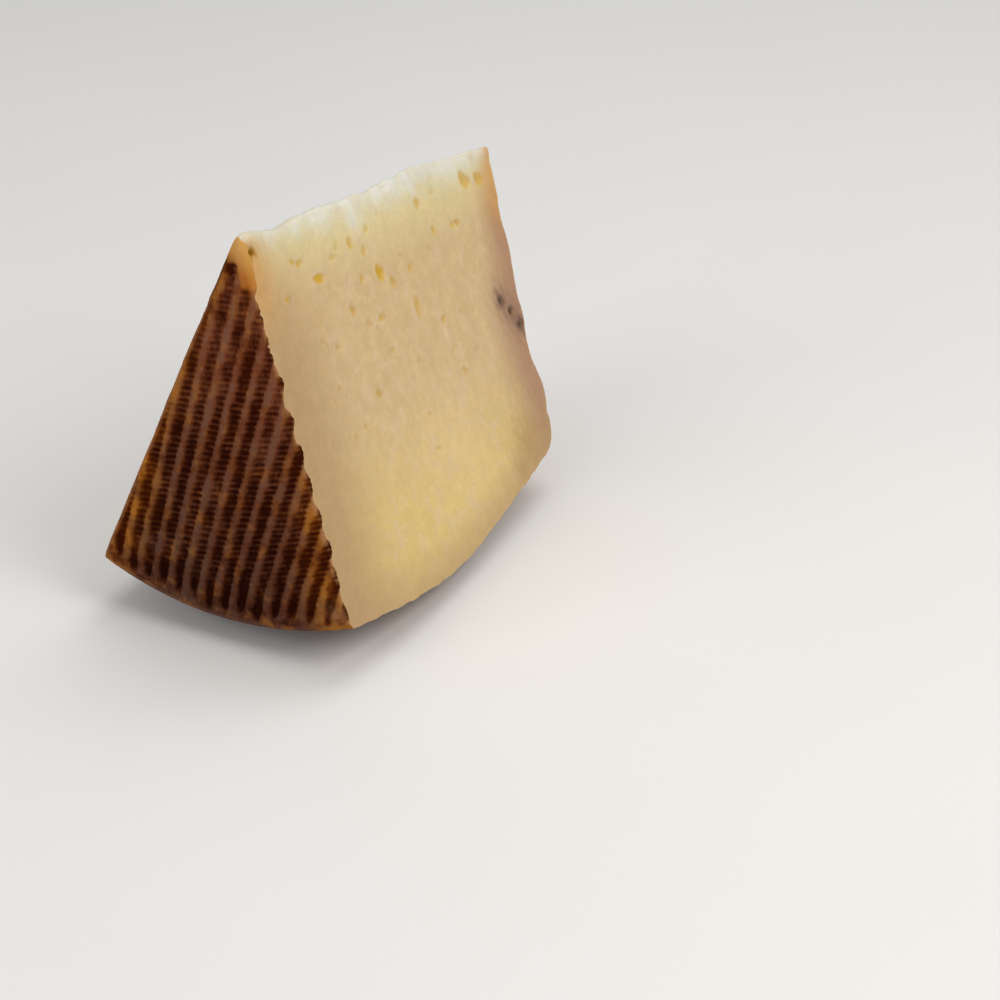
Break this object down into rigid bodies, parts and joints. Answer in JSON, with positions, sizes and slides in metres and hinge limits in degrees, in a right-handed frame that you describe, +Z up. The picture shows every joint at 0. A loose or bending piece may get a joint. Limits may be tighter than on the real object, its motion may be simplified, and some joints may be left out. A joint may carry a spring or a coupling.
{
  "type": "pressed uncooked cheese",
  "caption": "Wedge of pressed uncooked cheese on its curved side, ridge up, with flat cut faces, small eyes and a dark rind moulded by a plaited mat.",
  "frame": {"origin": "centre of the wedge's bounding box in plan, on the surface that it rests on", "axes": "+Y from the front flat face to the back one along the ridge, +X across the wedge, +Z up through the ridge"},
  "size_m": [0.0682, 0.1232, 0.0949],
  "materials": {
    "cheese": "ivory pressed paste with a fine crumb on the cuts, dark brown moulded rind on the flat faces and the side"
  },
  "bodies": {
    "root": {"cheese_wedge": "cheese"}
  },
  "joints": []
}
